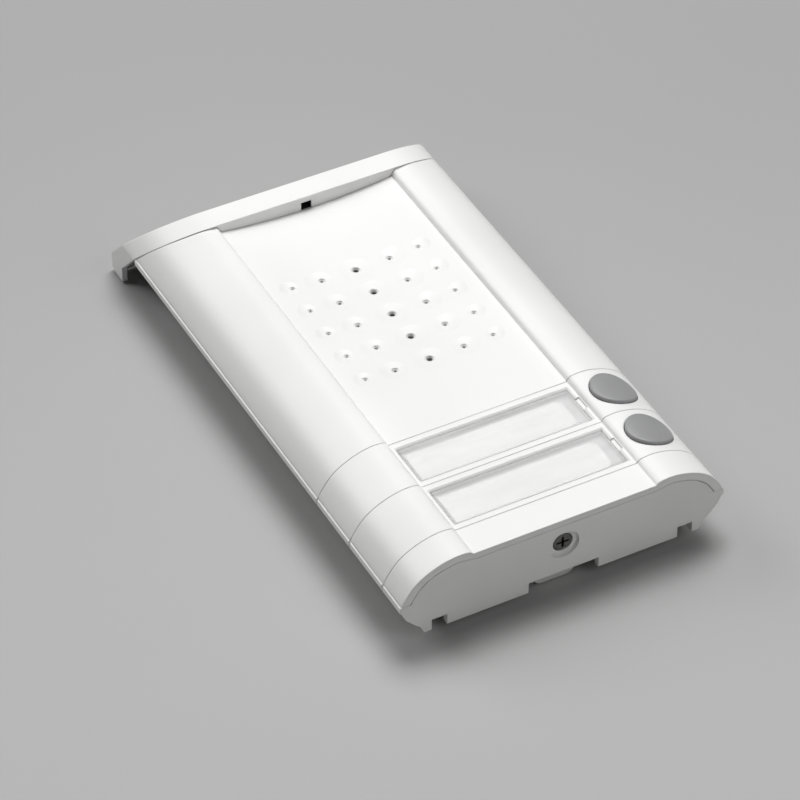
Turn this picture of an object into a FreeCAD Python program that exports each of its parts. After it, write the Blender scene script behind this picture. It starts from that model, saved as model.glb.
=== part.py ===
import FreeCAD, Part
import math
import os

os.makedirs("parts", exist_ok=True)
Vec = FreeCAD.Vector

# A surface mounted intercom door station with a loudspeaker panel, a rain hood
# at the top and two call modules, each with a lit name strip and a round button.
# It lies on its back: z is out of the wall, y runs up the wall to the hood, and
# the origin is the middle of the back. Lengths along y are measured from the
# bottom end face, and at() turns them into y.

# Overall sizes
overall_length = 182.5
half_width = 50.2
panel_half_width = 27.9
panel_height = 26.1
foot_gap = 3.7
clearance = 0.1
seam_gap = 0.14
overlap = 0.2

# Cover profile: the panel between two curved wings
wing_thickness = 2.4
wing_edge_inset = 0.6
wing_edge_drop = 10.3
wing_rise = 1.7
wing_rise_inset = 5.1
# share of the way from the panel to the wing's edge, and height above the panel
wing_shape = [
    (0.014, 0.0),
    (0.052, 0.8),
    (0.11, 1.15),
    (0.217, 1.3),
    (0.442, 0.5),
    (0.664, -1.5),
    (0.843, -4.6),
    (0.954, -8.0),
]
panel_lap = 0.3
strip_wall = 2.0
panel_wall = 4.1
dish_depth = 1.9
dish_edge_rise = 0.8

# Modules along the length
strip_length = 10.2
module_pitch = 19.1
module_count = 2

# Speaker grille, a five by five grid of dimpled holes
grille_offset = -1.65
grille_row_pitch = 11.2
grille_rows = 5
# column offset, dimple diameter, countersink diameter and hole diameter
grille_columns = [
    (0.0, 9.5, 3.0, 1.7),
    (11.0, 7.5, 2.2, 1.0),
    (20.4, 5.5, 1.7, 0.7),
]
dimple_depth = 0.4
countersink_depth = 0.4
grille_wall = 1.0
relief_bore_share = 2.2

# Rain hood, a band between two slanted planes
hood_reach = 30.0
hood_slant = 0.94
hood_band = 8.0
hood_lift = 3.55
hood_wall = 2.2
hood_cheek = 1.7
hood_wall_drop = 2.7
hood_wall_reach = 5.0
hood_seam_lap = 0.15
hood_foot_chamfer = 2.5
hood_foot_radius = 0.8
cheek_length = 7.2
cheek_step = 0.6
opening_angle = 25.0
# share of the way from the panel to the side, and drop below the flat top
hood_shape = [
    (0.094, 0.0),
    (0.251, 0.35),
    (0.43, 1.6),
    (0.646, 4.2),
    (0.834, 8.2),
    (0.946, 11.9),
]
hood_edge_rise = 0.8
hood_screw_x = 20.0
hood_screw_inset = 5.5
hood_boss_radius = 3.0
hood_screw_radius = 1.1
hood_screw_head = 2.2
hood_screw_head_height = 1.4
hood_screw_grip = 6.0
screw_hole_gap = 0.15
driver_slot_half = 0.3
driver_slot_depth = 0.6

# Name strips
window_side = 1.1
window_margin = 2.4
window_bevel = 0.5
tray_wall = 1.2
tray_depth = 4.3
tray_ledge = 1.4
diffuser_thickness = 1.5
label_thickness = 0.25
label_left_margin = 1.4
label_right_margin = 3.3
label_margin = 1.55
label_corner = 2.4
cover_thickness = 1.3
cover_recess = 0.3
cover_chamfer = 0.35
cover_pin_radius = 0.35
cover_pin_rise = 0.7
cover_pin_reach = 0.6
cover_neck_half = 0.15
cover_tab_width = 5.0
cover_tab_inset = 3.55
pocket_depth = 3.1
pocket_gap = 0.3
rim_lip = 0.45
pry_notch_half = 2.4
pry_notch_depth = 0.8
pry_notch_end_depth = 0.3

# Call buttons
button_across = 0.447
button_radius = 6.75
button_gap = 0.2
button_proud = 1.15
button_lean = 0.5
button_edge_radius = 0.6
button_wall = 1.2
button_roof = 1.5
button_travel = 0.8
button_skirt_drop = 7.3
button_stem_radius = 1.5
button_lug_reach = 1.1
button_lug_half = 1.5
button_lug_height = 1.1

# Rear housing, a tub that is open towards the wall
deck_drop = 14.4
deck_thickness = 2.0
tub_wall = 2.0
tub_setback = 1.7
tub_end_inset = 19.5
end_wall = 2.0
flange_drop = 12.4
flange_round = 0.45
flange_bearing = 1.6
# inset from the flange's edge, and share of the height from foot to flange
side_shape = [
    (0.4, 1.0),
    (1.8, 0.68),
    (4.65, 0.38),
    (6.05, 0.26),
    (7.35, 0.0),
]
notch_leg = 2.25
notch_width = 4.7
notch_height = 3.66
cutout_half = 10.9
cutout_height = 3.5
seam_notch_depth = 0.4
seam_notch_half = 0.3
well_half = 14.0
cage_wall = 1.7
cage_lid = 0.8
cross_wall = 1.6

# Circuit board and what it carries
board_gap = 1.4
board_thickness = 1.6
board_side = 3.9
board_start = 15.0
board_end_gap = 3.4
board_screw_gap = 1.4
board_screw_inset = 5.0
board_screw_radius = 1.2
board_screw_head = 2.3
board_screw_head_height = 1.5
board_stand_radius = 3.0
cross_slot_half = 0.3
cross_slot_depth = 0.8
switch_half = 3.0
switch_height = 2.8
plunger_radius = 1.6
plunger_out = 0.8
plunger_in = 1.4
plunger_gap = 0.05
led_count = 4
led_pitch = 12.0
led_half = 1.4
led_depth = 1.0
led_height = 1.3
chip_x = -19.9
chip_from_end = 9.5
chip_half_length = 4.3
chip_half_width = 3.0
chip_height = 1.55
chip_lift = 0.15
chip_pins = 7
chip_pin_pitch = 1.27
chip_pin_width = 0.45
chip_pin_reach = 1.2
chip_pin_height = 0.8
can_radius = 2.5
can_height = 4.2
# across the board, and distance back from its upper end
can_places = [
    (26.0, 13.5),
    (33.5, 9.5),
    (33.5, 3.6),
]
socket_from_end = 2.25
socket_half_depth = 1.75
socket_height = 2.5
speaker_socket_half = 4.0
microphone_socket_half = 3.25
trimmer_x = 14.0
trimmer_from_end = 6.0
trimmer_half = 3.4
trimmer_height = 3.2
trimmer_radius = 2.4
trimmer_access = 2.0
trimmer_floor = 0.3
trimmer_rotor_height = 1.6
trimmer_slot_half = 0.35
trimmer_slot_depth = 0.8

# Loudspeaker
speaker_radius = 25.0
speaker_depth = 7.0
speaker_rim = 1.0
speaker_rim_width = 3.5
speaker_gasket_thickness = 1.2
speaker_hub = 4.0
magnet_radius = 11.0
magnet_height = 3.6
cone_thickness = 0.4
cone_dome = 5.0
cone_roll = 1.6
speaker_ring_wall = 2.4
lead_passage_half = 3.0

# Microphone behind the front wall of the hood
mic_hole_width = 3.4
mic_hole_height = 2.8
mic_hole_rise = 0.25
mic_hole_lip = 0.4
nose_wall = 0.6
mic_radius = 3.0
mic_length = 2.7
mic_port_radius = 1.0
boot_half_width = 4.6
boot_length = 4.8
boot_wall = 1.6
boot_roof = 0.3
boot_gap = 0.05
mic_rib = 1.2
mic_seat_lip = 0.6

# Captive screw that clamps the bottom end to the wall plate
screw_drop = 9.2
screw_radius = 1.75
screw_head_radius = 2.95
screw_head_height = 1.9
screw_head_round = 0.6
screw_sunk = 1.1
screw_recess_radius = 4.5
screw_recess_depth = 1.1
screw_boss_radius = 6.0
screw_boss_end = 3.4
screw_slot_half = 2.2
screw_end_margin = 0.95
nut_half = 3.5
nut_thickness = 2.6
nut_gap = 0.4
thread_gap = 0.05
cross_half = 1.9
cross_blade_half = 0.35
cross_depth = 1.2

# Mounting plate on the wall
plate_thickness = 2.6
plate_side = 12.7
plate_start = 10.0
plate_end_inset = 13.5
plate_corner = 4.0
plate_rim = 1.6
wall_slot_half_length = 3.5
wall_slot_radius = 2.25
wall_slot_side = 10.5
wall_slot_inset = 14.0
wall_slot_top_inset = 19.0
wall_slot_pad = 1.6
wall_slot_land = 2.6
lug_front = 5.0
lug_thickness = 3.2
lug_half_width = 6.3
lug_foot = 0.0
lug_rise = 3.7
lug_corner = 2.5
hook_side = 12.5
hook_half = 5.0
hook_upright = 2.5
hook_height = 9.5
hook_lip = 2.8
hook_lip_thickness = 2.2
shelf_overlap = 0.8
shelf_z = 3.0
shelf_thickness = 3.0
shelf_margin = 1.0

# Cable entry
entry_centre = 84.0
entry_radius = 10.0
entry_land = 4.0
grommet_lip = 2.0
grommet_lip_thickness = 1.0
grommet_web = 0.8
grommet_bore = 3.0
grommet_wall = 2.2
grommet_back = 0.3

# Terminal block
terminal_count = 6
terminal_pitch = 5.5
terminal_centre = 44.0
terminal_half_depth = 6.0
terminal_headroom = 2.3
terminal_end = 0.8
terminal_screw_radius = 1.5
terminal_screw_gap = 0.3
terminal_screw_inset = 2.5
terminal_screw_sunk = 1.0
terminal_mouth_half = 2.0
terminal_floor_share = 0.15
terminal_mouth_share = 0.47
clamp_wall_share = 0.3
clamp_gap = 0.05
clamp_inset = 0.8
contact_inset = 2.0
contact_slot_half = 2.0
contact_pin_radius = 0.6
contact_collar = 0.5
contact_collar_height = 0.9
contact_tail = 0.6
contact_gap = 0.1
contact_pad_half = 1.5
contact_pad_thickness = 0.3

# Snap legs that hold the cover pieces down in the deck
leg_inset = 7.0
leg_thickness = 1.3
leg_nib = 0.6
leg_nib_height = 1.2
leg_hole_gap = 0.35
module_leg_inset = 1.95
module_leg_length = 3.0
panel_leg_length = 6.0
panel_leg_inset = 13.0
panel_leg_count = 3
strip_leg_inset = 3.7

# Leads
lead_radius = 0.55
lead_spacing = 1.4
microphone_lead_radius = 0.8

# Places that follow from the sizes above
wing_edge_x = half_width - wing_edge_inset
wing_edge_z = panel_height - wing_edge_drop
wing_width = wing_edge_x - panel_half_width
strip_ceiling = panel_height - strip_wall
panel_ceiling = panel_height - panel_wall
panel_start = strip_length + module_count * module_pitch
hood_front = overall_length - hood_reach
hood_top = panel_height + hood_lift
hood_wall_foot = panel_height - hood_wall_drop
cheek_front = overall_length - cheek_length
seam_base = hood_front + hood_slant * hood_top - hood_seam_lap
pivot_v = overall_length - hood_foot_chamfer
grille_centre = (panel_start + hood_front) / 2 + grille_offset
window_half_width = panel_half_width - window_side
window_half_height = module_pitch / 2 - window_margin
cover_tab_offset = window_half_height - cover_tab_inset
cover_bottom = panel_height - cover_recess - cover_thickness
cover_pin_z = cover_bottom + cover_pin_rise
label_top = cover_bottom - 2 * clearance
diffuser_top = label_top - label_thickness
ledge_top = diffuser_top - diffuser_thickness
button_x = panel_half_width + wing_width * button_across
button_skirt_z = panel_height - button_skirt_drop
deck_z = panel_height - deck_drop
deck_top = deck_z + deck_thickness
flange_z = panel_height - flange_drop
tub_top = overall_length - tub_end_inset
leg_outer = half_width - side_shape[-1][0]
notch_outer = leg_outer - notch_leg
notch_inner = notch_outer - notch_width
board_z = deck_top + board_gap
board_top = board_z + board_thickness
board_half_width = button_x + board_side
board_end = grille_centre - speaker_radius - speaker_ring_wall - board_end_gap
board_screw_x = button_x - button_radius - board_screw_head - board_screw_gap
switch_top = board_top + switch_height
trimmer_v = board_end - trimmer_from_end
socket_v = board_end - socket_from_end
microphone_socket_x = microphone_socket_half - board_half_width + 1.0
speaker_top = panel_ceiling - speaker_gasket_thickness
mic_hole_z = panel_height + mic_hole_rise
mic_axis_z = hood_top - hood_wall - boot_gap - boot_roof - mic_radius
boot_low = mic_axis_z - mic_radius - boot_wall
boot_start = hood_front + hood_wall + mic_seat_lip - 0.15
boot_end = hood_front + hood_wall + boot_length
screw_z = panel_height - screw_drop
lug_end = lug_front + lug_thickness
nut_start = lug_end + nut_gap + thread_gap
cross_wall_v = nut_start + nut_thickness + nut_gap - thread_gap
screw_tip = nut_start + nut_thickness + screw_end_margin
lug_top = screw_z + lug_rise
plate_half_width = half_width - plate_side
plate_end = overall_length - plate_end_inset
plate_rim_height = foot_gap - clearance
wall_slot_x = plate_half_width - wall_slot_side
wall_slot_low = plate_start + wall_slot_inset
wall_slot_high = plate_end - wall_slot_top_inset
hook_x = plate_half_width - hook_side
terminal_height = deck_z - terminal_headroom - plate_thickness
terminal_mouth_top = terminal_height * terminal_mouth_share
terminal_floor = terminal_height * terminal_floor_share
contact_v = terminal_centre + terminal_half_depth - contact_inset
leg_x = wing_edge_x - leg_inset
module_leg_offset = module_pitch / 2 - module_leg_inset


def at(v):
    return v - overall_length / 2


def module_centre(index):
    """Middle of a call module, the first one being next to the panel."""
    return panel_start - (index - 0.5) * module_pitch


def box(x0, x1, v0, v1, z0, z1):
    return Part.makeBox(x1 - x0, v1 - v0, z1 - z0, Vec(x0, at(v0), z0))


def post(x, v, z0, z1, radius):
    return Part.makeCylinder(radius, z1 - z0, Vec(x, at(v), z0))


def rod(x, z, v0, v1, radius):
    return Part.makeCylinder(radius, v1 - v0, Vec(x, at(v0), z), Vec(0, 1, 0))


def prism_along_y(outline, v0, v1):
    points = [Vec(x, at(v0), z) for x, z in outline]
    face = Part.Face(Part.makePolygon(points + points[:1]))
    return face.extrude(Vec(0, v1 - v0, 0))


def prism_along_x(outline, x0, x1):
    points = [Vec(x0, at(v), z) for v, z in outline]
    face = Part.Face(Part.makePolygon(points + points[:1]))
    return face.extrude(Vec(x1 - x0, 0, 0))


def ring(x, v, z0, z1, inner, outer):
    return post(x, v, z0, z1, outer).cut(post(x, v, z0 - 1, z1 + 1, inner))


def slot_along_y(x, v, z0, z1, half_length, radius):
    body = box(x - radius, x + radius, v - half_length, v + half_length, z0, z1)
    ends = [post(x, v - half_length, z0, z1, radius), post(x, v + half_length, z0, z1, radius)]
    return body.multiFuse(ends).removeSplitter()


def rounded_plate(half_x, half_y, v, z0, z1, corner, sides=(-1, 1)):
    """A plate about x = 0 with rounded corners on the named ends."""
    plate = box(-half_x, half_x, v - half_y, v + half_y, z0, z1)
    edges = []
    for edge in plate.Edges:
        first, last = edge.Vertexes[0].Point, edge.Vertexes[-1].Point
        if abs(first.z - last.z) > (z1 - z0) / 2 and math.copysign(1, first.x) in sides:
            edges.append(edge)
    return plate.makeFillet(corner, edges)


def joined(first, others):
    return first.multiFuse(others).removeSplitter()


def save(name, shape):
    if not shape.isValid():
        print("not valid:", name)
    count = len(shape.Solids)
    shape = shape.Solids[0] if count == 1 else Part.makeCompound(shape.Solids)
    shape.exportStep(os.path.join("parts", name + ".step"))
    box_of = shape.BoundBox
    print(f"{name:28s} solids {count:3d} volume {shape.Volume:10.1f} "
          f"z {box_of.ZMin:6.2f} to {box_of.ZMax:6.2f}")


# Profiles of the curved cover

def share_up_panel(v):
    return (v - panel_start) / (hood_front - panel_start)


def wing_outline(v):
    """Points over the right wing, from the panel to the flange."""
    points = []
    edge_rise = dish_edge_rise * max(0.0, share_up_panel(v))
    for i, (across, height) in enumerate(wing_shape):
        x = panel_half_width + across * wing_width
        share = min(1.0, (wing_edge_x - x) / (wing_width - wing_rise_inset))
        rise = wing_rise * v / hood_front * share
        points.append((x, panel_height + height + (rise if i else edge_rise)))
    points.append((wing_edge_x, wing_edge_z))
    return points


def offset_inwards(points, distance):
    """The same open curve moved towards the inside, point by point."""
    moved = []
    for i, (x, z) in enumerate(points):
        x0, z0 = points[max(i - 1, 0)]
        x1, z1 = points[min(i + 1, len(points) - 1)]
        length = math.hypot(x1 - x0, z1 - z0)
        moved.append((x + (z1 - z0) / length * distance, z - (x1 - x0) / length * distance))
    return moved


def curve_through(points, v):
    # the spacing comes from x and height alone, alike in every section
    curve = Part.BSplineCurve()
    spacing = [0.0]
    for (xa, _), (xb, _) in zip(points, points[1:]):
        spacing.append(spacing[-1] + abs(xb - xa) + 1.0)
    spacing[-1] += 3.0 if len(points) > 3 else 0.0
    curve.interpolate(Points=[Vec(x, at(v), z) for x, z in points], Parameters=spacing)
    return curve.toShape()


def cover_section(v, right, low_z):
    """Closed section from a curve over the right wing and its mirror image."""
    left = [(-x, z) for x, z in right]
    corner = [(right[-1][0], low_z), (left[-1][0], low_z)]
    edges = [curve_through(right, v)]
    line_points = [right[-1], corner[0], corner[1], left[-1]]
    for (xa, za), (xb, zb) in zip(line_points, line_points[1:]):
        edges.append(Part.makeLine(Vec(xa, at(v), za), Vec(xb, at(v), zb)))
    edges.append(curve_through(left, v))
    edges.append(Part.makeLine(Vec(left[0][0], at(v), left[0][1]),
                               Vec(right[0][0], at(v), right[0][1])))
    return Part.Wire(Part.__sortEdges__(edges))


def outer_body(v0, v1, lift=0.0):
    sections = []
    for v in (v0, v1):
        raised = [(x, z + lift) for x, z in wing_outline(v)]
        sections.append(cover_section(v, raised, wing_edge_z - 0.001))
    return Part.makeLoft(sections, True, True)


def inner_points(v, ceiling, wall):
    """Inside of the cover: the wing moved in by its wall, then the ceiling."""
    moved = offset_inwards(wing_outline(v), wall)[3:]
    start = (panel_half_width + clearance, ceiling)
    return [start] + moved


def inner_section(v, ceiling, wall):
    points = inner_points(v, ceiling, wall)
    curve = points[1:]
    low_z = wing_edge_z - 2.0
    right = [curve_through(curve, v)]
    left = [curve_through([(-x, z) for x, z in curve], v)]
    last_x, last_z = curve[-1]
    corners = [(last_x, last_z), (last_x, low_z), (-last_x, low_z), (-last_x, last_z)]
    lines = []
    for (xa, za), (xb, zb) in zip(corners, corners[1:]):
        lines.append(Part.makeLine(Vec(xa, at(v), za), Vec(xb, at(v), zb)))
    first_x, first_z = curve[0]
    start_x, start_z = points[0]
    top = [(-first_x, first_z), (-start_x, start_z), (start_x, start_z), (first_x, first_z)]
    for (xa, za), (xb, zb) in zip(top, top[1:]):
        lines.append(Part.makeLine(Vec(xa, at(v), za), Vec(xb, at(v), zb)))
    return Part.Wire(Part.__sortEdges__(right + left + lines))


def inner_body(v0, v1, ceiling, wall=wing_thickness):
    sections = [inner_section(v, ceiling, wall) for v in (v0, v1)]
    return Part.makeLoft(sections, True, True)


def snap_legs(places, length, body):
    """Legs inside both wings, each with a nib that catches under the deck."""
    legs = []
    for side in (-1, 1):
        for v in places:
            xs = sorted((side * leg_x, side * (leg_x + leg_thickness)))
            leg = box(xs[0], xs[1], v - length / 2, v + length / 2,
                      deck_z - clearance - leg_nib_height, panel_height)
            inside = leg.common(body)
            lower = box(xs[0], xs[1], v - length / 2, v + length / 2,
                        deck_z - clearance - leg_nib_height, wing_edge_z + 1.0)
            nib_x = sorted((side * (leg_x - leg_nib), side * leg_x))
            nib = box(nib_x[0], nib_x[1], v - length / 2, v + length / 2,
                      deck_z - clearance - leg_nib_height, deck_z - clearance)
            legs += [inside, lower, nib]
    return legs


def skin(v0, v1, ceiling):
    body = outer_body(v0, v1)
    return body, body.cut(inner_body(v0 - 1, v1 + 1, ceiling))


# Slanted planes of the hood

def seam_at(z):
    return seam_base - hood_slant * z


def outer_plane_at(z):
    return seam_at(z) + hood_band


def beyond_seam(gap):
    """Everything past the slanted seam, moved towards the bottom by a gap."""
    outline = [
        (seam_at(45) - gap, 45),
        (seam_at(-5) - gap, -5),
        (overall_length + 60, -5),
        (overall_length + 60, 45),
    ]
    return prism_along_x(outline, -60, 60)


# Cover pieces

def bottom_strip():
    v1 = strip_length - seam_gap / 2
    body, shell = skin(0, v1, strip_ceiling)
    legs = snap_legs([strip_length - strip_leg_inset], module_leg_length, body)
    return joined(shell, legs)


def dish_surface(v):
    """Height of the panel edge and depth of its middle at one place."""
    share = max(0.0, share_up_panel(v))
    edge = panel_height + dish_edge_rise * share
    depth = dish_depth * (1 - (1 - min(share, 1.0)) ** 3)
    return edge, depth


def panel_surface(x, v):
    edge, depth = dish_surface(v)
    return edge - depth * (1 - (x / panel_half_width) ** 2)


def dish_cutter():
    """The space above the hollow panel, with its lower face as the surface."""
    reach = panel_half_width + panel_lap
    rows = []
    for i in range(13):
        v = panel_start - 2 + (hood_front + 4 - panel_start) * i / 12
        row = []
        for j in range(9):
            x = reach * (j / 4 - 1)
            row.append(Vec(x, at(v), panel_surface(x, v)))
        rows.append(row)
    surface = Part.BSplineSurface()
    surface.interpolate(rows)
    return surface.toShape().extrude(Vec(0, 0, 12))


def grille_places():
    for column, (offset, dimple, sink, hole) in enumerate(grille_columns):
        for side in ((1,) if offset == 0 else (-1, 1)):
            for row in range(grille_rows):
                v = grille_centre + (row - (grille_rows - 1) / 2) * grille_row_pitch
                yield side * offset, v, dimple, sink, hole


def panel_leg_places():
    first = panel_start + panel_leg_inset
    step = (hood_front - panel_leg_inset - first) / (panel_leg_count - 1)
    return [first + i * step for i in range(panel_leg_count)]


def front_panel():
    v0 = panel_start + seam_gap / 2
    v1 = tub_top + 6
    body = outer_body(v0, v1)
    raised = box(-panel_half_width - panel_lap, panel_half_width + panel_lap, v0, v1,
                 panel_height - 1, panel_height + dish_edge_rise + 0.2)
    solid = body.fuse(raised).removeSplitter()
    shell = solid.cut(inner_body(v0 - 1, v1 + 1, panel_ceiling))
    shell = shell.cut(dish_cutter())
    shell = shell.cut(beyond_seam(seam_gap))
    middle = box(-panel_half_width, panel_half_width, hood_front - seam_gap / 2, v1 + 1, 0, 45)
    shell = shell.cut(middle)
    tools = []
    for x, v, dimple, sink, hole in grille_places():
        z = panel_surface(x, v)
        radius = (dimple ** 2 / 4 + dimple_depth ** 2) / (2 * dimple_depth)
        ball = Part.makeSphere(radius, Vec(x, at(v), z + radius - dimple_depth))
        low = z - dimple_depth
        cone = Part.makeCone(hole / 2, sink / 2, countersink_depth,
                             Vec(x, at(v), low - countersink_depth + 0.02))
        tools += [ball, cone, post(x, v, panel_ceiling - 1, z, hole / 2)]
        tools.append(post(x, v, panel_ceiling - 1, low - grille_wall,
                          hole / 2 * relief_bore_share))
    for tool in tools:
        shell = shell.cut(tool)
    legs = snap_legs(panel_leg_places(), panel_leg_length, body)
    return joined(shell, legs)


def window_tools(centre):
    """The window with its bevel, the tray space and the pry notch."""
    top = panel_height
    opening = box(-window_half_width, window_half_width,
                  centre - window_half_height, centre + window_half_height,
                  panel_height - tray_depth - 1, top + 1)
    wide = [(-window_half_width - window_bevel, centre - window_half_height - window_bevel, top),
            (window_half_width + window_bevel, centre + window_half_height + window_bevel, top)]
    narrow = [(-window_half_width, centre - window_half_height, top - window_bevel),
              (window_half_width, centre + window_half_height, top - window_bevel)]
    loops = []
    for (x0, v0, z), (x1, v1, _) in (wide, narrow):
        corners = [Vec(x0, at(v0), z), Vec(x1, at(v0), z), Vec(x1, at(v1), z), Vec(x0, at(v1), z)]
        loops.append(Part.makePolygon(corners + corners[:1]))
    bevel = Part.makeLoft(loops, True, True)
    return [opening, bevel, pry_notch(centre)]


def pry_notch(centre):
    """A gap in the right rim, whose floor rises towards the wing."""
    floor_start = panel_height - pry_notch_depth
    floor_end = panel_height - pry_notch_end_depth
    outline = [
        Vec(window_half_width - overlap, at(centre - pry_notch_half), floor_start),
        Vec(panel_half_width, at(centre - pry_notch_half), floor_end),
        Vec(panel_half_width, at(centre - pry_notch_half), panel_height + 1),
        Vec(window_half_width - overlap, at(centre - pry_notch_half), panel_height + 1),
    ]
    face = Part.Face(Part.makePolygon(outline + outline[:1]))
    return face.extrude(Vec(0, 2 * pry_notch_half, 0))


def tab_places(centre):
    return [centre - cover_tab_offset, centre + cover_tab_offset]


def cover_pin_x():
    return -window_half_width - cover_pin_reach


def module_frame(index):
    centre = module_centre(index)
    v0 = centre - module_pitch / 2 + seam_gap / 2
    v1 = centre + module_pitch / 2 - seam_gap / 2
    body, shell = skin(v0, v1, strip_ceiling)
    tray_z = panel_height - tray_depth
    tray = box(-window_half_width - tray_wall, window_half_width + tray_wall,
               centre - window_half_height - tray_wall, centre + window_half_height + tray_wall,
               tray_z, strip_ceiling + overlap)
    shell = shell.fuse(tray)
    for tool in window_tools(centre):
        shell = shell.cut(tool)
    ledge = box(-window_half_width - overlap, window_half_width + overlap,
                centre - window_half_height - overlap, centre + window_half_height + overlap,
                tray_z, ledge_top)
    hollow = box(-window_half_width + tray_ledge, window_half_width - tray_ledge,
                 centre - window_half_height + tray_ledge, centre + window_half_height - tray_ledge,
                 tray_z - 1, ledge_top + 1)
    shell = shell.fuse(ledge.cut(hollow))
    pockets = []
    for v in tab_places(centre):
        pockets.append(box(cover_pin_x() - cover_pin_radius - pocket_gap, overlap - window_half_width,
                           v - cover_tab_width / 2 - pocket_gap, v + cover_tab_width / 2 + pocket_gap,
                           panel_height - pocket_depth, panel_height - rim_lip))
    places = [centre - module_leg_offset, centre + module_leg_offset]
    shell = joined(shell.cut(Part.makeCompound(pockets)),
                   snap_legs(places, module_leg_length, body))
    return shell.cut(post(button_x, centre, 5, 45, button_radius + button_gap))


def label_diffuser(index):
    centre = module_centre(index)
    return box(-window_half_width + clearance, window_half_width - clearance,
               centre - window_half_height + clearance, centre + window_half_height - clearance,
               ledge_top, diffuser_top)


def name_label(index):
    """Card that lies to the left on its diffuser, with its right corners cut round."""
    half_length = window_half_width - (label_left_margin + label_right_margin) / 2
    plate = rounded_plate(half_length, window_half_height - label_margin,
                          module_centre(index), diffuser_top, label_top, label_corner, sides=(1,))
    plate.translate(Vec((label_left_margin - label_right_margin) / 2, 0, 0))
    return plate


def name_cover(index):
    """Clear cover with a sloped border, hinged on two pins under the left rim."""
    centre = module_centre(index)
    top = panel_height - cover_recess
    half_x = window_half_width - 2 * clearance
    half_y = window_half_height - 2 * clearance
    plate = box(-half_x, half_x, centre - half_y, centre + half_y, cover_bottom, top)
    upper = [edge for edge in plate.Edges if edge.BoundBox.ZMin > top - 0.01]
    plate = plate.makeChamfer(cover_chamfer, upper)
    tabs = []
    for v in tab_places(centre):
        v0, v1 = v - cover_tab_width / 2, v + cover_tab_width / 2
        tabs.append(rod(cover_pin_x(), cover_pin_z, v0, v1, cover_pin_radius))
        tabs.append(box(cover_pin_x(), overlap - half_x, v0, v1,
                        cover_pin_z - cover_neck_half, cover_pin_z + cover_neck_half))
    return joined(plate, tabs)


# Buttons and switches

def leaning(body):
    """Moved inwards a little, so that a button is nearly flush on the steep side."""
    body.translate(Vec(-button_lean, 0, 0))
    return body


def call_button(index):
    """Round cap whose top follows the wing, a stem and two stop lugs."""
    centre = module_centre(index)
    v0 = centre - module_pitch / 2
    v1 = centre + module_pitch / 2
    cap = post(button_x, centre, button_skirt_z, 45, button_radius)
    cap = cap.common(leaning(outer_body(v0, v1, button_proud)))
    rim = [edge for edge in cap.Edges if edge.BoundBox.ZMin > button_skirt_z + 1
           and edge.BoundBox.YLength > button_radius / 2]
    cap = cap.makeFillet(button_edge_radius, rim)
    hollow = post(button_x, centre, button_skirt_z - 1, 45, button_radius - button_wall)
    hollow = hollow.common(leaning(outer_body(v0, v1, button_proud - button_roof)).fuse(
        box(0, half_width, v0, v1, 0, wing_edge_z)))
    stem = post(button_x, centre, stem_foot(), panel_height, button_stem_radius)
    stem = stem.common(leaning(outer_body(v0, v1, button_proud - button_roof / 2)))
    lugs = []
    inner = inner_points(centre, strip_ceiling, wing_thickness)[1:]
    lug_top_z = height_on(inner, button_x + button_lug_half) - clearance
    for side in (-1, 1):
        ends = sorted((centre + side * (button_radius - button_wall / 2),
                       centre + side * (button_radius + button_lug_reach)))
        lugs.append(box(button_x - button_lug_half, button_x + button_lug_half,
                        ends[0], ends[1], lug_top_z - button_lug_height, lug_top_z))
    return joined(cap.cut(hollow), [stem] + lugs)


def height_on(points, x):
    """Height of a run of points at x, along straight lines between them."""
    for (xa, za), (xb, zb) in zip(points, points[1:]):
        if min(xa, xb) <= x <= max(xa, xb):
            return za + (zb - za) * (x - xa) / (xb - xa)
    return points[-1][1]


def stem_foot():
    return switch_top + plunger_out + plunger_gap


def switch_body(index):
    centre = module_centre(index)
    body = box(button_x - switch_half, button_x + switch_half,
               centre - switch_half, centre + switch_half, board_top, switch_top)
    bore_foot = switch_top - plunger_in - button_travel - clearance
    return body.cut(post(button_x, centre, bore_foot, switch_top + 1,
                         plunger_radius + plunger_gap))


def switch_plunger(index):
    centre = module_centre(index)
    return post(button_x, centre, switch_top - plunger_in, switch_top + plunger_out,
                plunger_radius)


# Rain hood

def hood_points(inset):
    """Right half of the hood's arch, from the flat top to the side."""
    reach = half_width - panel_half_width
    outline = [(panel_half_width + share * reach, hood_top - drop) for share, drop in hood_shape]
    outline.append((half_width, flange_z + hood_edge_rise))
    return offset_inwards(outline, inset) if inset else outline


def hood_arch(v0, v1, inset, low_z):
    right = hood_points(inset)
    if inset:
        right[-1] = (half_width - hood_cheek, right[-1][1])
        right[0] = (right[0][0], hood_top - inset)
    section = cover_section(v0, right, low_z)
    return Part.Face(section).extrude(Vec(0, v1 - v0, 0))


def hood_region():
    """Side view of the hood: a slanted band with an upright end wall."""
    foot_z = hood_foot_chamfer * math.tan(math.radians(opening_angle + 1))
    corner_z = (seam_base + hood_band - overall_length) / hood_slant
    cheek_z = (seam_base - cheek_front + 2 * clearance) / hood_slant + cheek_step
    outline = [
        (seam_at(hood_top + 2), hood_top + 2),
        (seam_at(cheek_z), cheek_z),
        (cheek_front, cheek_z - cheek_step),
        (cheek_front, 0),
        (pivot_v, 0),
        (overall_length, foot_z),
        (overall_length, corner_z),
        (outer_plane_at(hood_top + 2), hood_top + 2),
    ]
    region = prism_along_x(outline, -half_width - 1, half_width + 1)
    foot = [edge for edge in region.Edges
            if abs(edge.BoundBox.Center.y - at(pivot_v)) < 0.01 and edge.BoundBox.ZMax < 0.01
            and edge.BoundBox.XLength > half_width]
    return region.makeFillet(hood_foot_radius, foot)


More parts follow.
